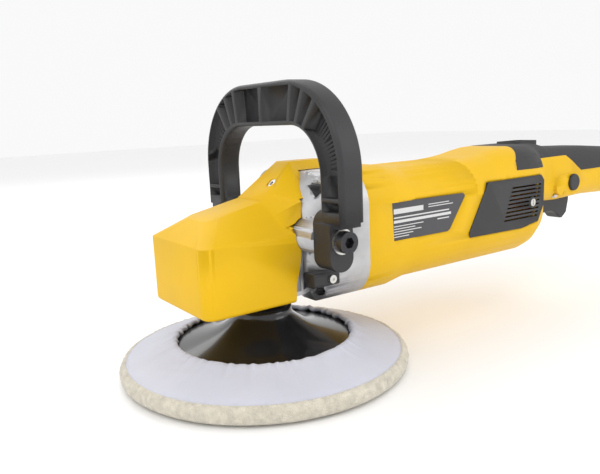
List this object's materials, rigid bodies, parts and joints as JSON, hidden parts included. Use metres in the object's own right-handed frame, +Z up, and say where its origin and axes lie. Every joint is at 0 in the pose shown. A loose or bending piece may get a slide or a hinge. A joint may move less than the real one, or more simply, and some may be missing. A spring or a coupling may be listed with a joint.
{
  "type": "rotary polisher",
  "caption": "Corded rotary polisher with a wool bonnet on a round backing pad, a D-shaped front bail handle, a barrel motor housing and a rear handle with trigger.",
  "frame": {"origin": "on the spindle axis at the bonnet's working face", "axes": "+Z up the spindle from the working face, +X from the head towards the rear handle, -Y the side with the rating plate"},
  "size_m": [0.538, 0.192, 0.1845],
  "materials": {
    "yellow_plastic": "fine texture",
    "black_plastic": "fine texture",
    "black_rubber": "matt",
    "cast_aluminium": "blasted",
    "steel": "turned",
    "zinc_steel": "zinc plated",
    "dark_steel": "black oxide",
    "pad_black": "glossy",
    "bonnet_wool": "wool pile and cloth",
    "bronze": "sintered",
    "lamination": "oiled",
    "copper": "enamelled",
    "brass": "drawn",
    "carbon": "pressed",
    "label_dark": "printed",
    "felt": "felt",
    "module_potting": "potted",
    "dial_yellow": "moulded"
  },
  "bodies": {
    "tool_body": {"gear_case": "cast_aluminium", "bearing_box": "cast_aluminium", "bearing_box_screws": "zinc_steel", "spindle_lower_bearing": "steel", "spindle_upper_bush": "bronze", "dust_seal": "felt", "gearbox_plate": "cast_aluminium", "layshaft_front_bearing": "steel", "layshaft_rear_bearing": "steel", "armature_front_bearing": "steel", "armature_rear_bearing": "steel", "front_cover": "yellow_plastic", "front_cover_screw": "zinc_steel", "motor_housing": "yellow_plastic", "flange_screws": "zinc_steel", "stator_core": "lamination", "stator_winding": "copper", "fan_baffle": "black_plastic", "brush_holders": "brass", "carbon_brushes": "carbon", "vent_cover_left": "black_plastic", "vent_cover_right": "black_plastic", "vent_cover_screws": "zinc_steel", "rating_plate": "label_dark", "handle_left": "yellow_plastic", "handle_right": "yellow_plastic", "handle_grip": "black_rubber", "handle_screws": "zinc_steel", "switch_body": "black_plastic", "speed_module": "module_potting", "cord_inlet_bush": "black_rubber", "trigger_pin": "steel", "bail_handle": "black_plastic", "bail_handle_bolts": "dark_steel", "bail_handle_washers": "zinc_steel", "side_brackets": "black_plastic", "side_bracket_screws": "zinc_steel"},
    "spindle": {"spindle_shaft": "steel", "bevel_ring_gear": "dark_steel", "pad_hub_nut": "zinc_steel", "backing_pad": "pad_black", "wool_bonnet": "bonnet_wool"},
    "layshaft_group": {"layshaft": "steel", "layshaft_gear": "dark_steel", "bevel_pinion": "dark_steel"},
    "armature": {"armature_shaft": "steel", "armature_core": "lamination", "commutator": "copper", "cooling_fan": "black_plastic", "armature_pinion": "dark_steel"},
    "trigger_lever": {"trigger": "black_plastic"},
    "lock_button": {"lock_on_button": "black_plastic"},
    "dial": {"speed_dial": "dial_yellow"},
    "spindle_lock": {"spindle_lock_button": "black_plastic"}
  },
  "joints": [
    {"name": "spindle_spin", "type": "hinge", "parent": "tool_body", "child": "spindle", "pos_m": [0, 0, 0.05], "axis": [0, 0, 1], "continuous": true},
    {"name": "layshaft_spin", "type": "hinge", "parent": "tool_body", "child": "layshaft_group", "pos_m": [0.03, 0, 0.065], "axis": [1, 0, 0], "continuous": true},
    {"name": "armature_spin", "type": "hinge", "parent": "tool_body", "child": "armature", "pos_m": [0.06, 0, 0.085], "axis": [1, 0, 0], "continuous": true},
    {"name": "trigger_pull", "type": "hinge", "parent": "tool_body", "child": "trigger_lever", "pos_m": [0.297, 0, 0.084], "axis": [0, -1, 0], "range_deg": [0, 7], "stiffness_Nm_per_rad": 2, "springref_deg": -5.73},
    {"name": "lock_button_push", "type": "slide", "parent": "tool_body", "child": "lock_button", "axis": [0, 1, 0], "range_m": [0, 0.003], "stiffness_N_per_m": 400, "springref_m": -0.002},
    {"name": "speed_dial_turn", "type": "hinge", "parent": "tool_body", "child": "dial", "pos_m": [0.268, 0, 0.1206], "axis": [0, 1, 0], "range_deg": [0, 270]},
    {"name": "spindle_lock_push", "type": "slide", "parent": "tool_body", "child": "spindle_lock", "axis": [0, -1, 0], "range_m": [0, 0.003], "stiffness_N_per_m": 400, "springref_m": -0.002}
  ],
  "couplings": [
    {"joint": "layshaft_spin", "follows": "spindle_spin", "ratio": -3.7},
    {"joint": "armature_spin", "follows": "spindle_spin", "ratio": 8.6333}
  ]
}
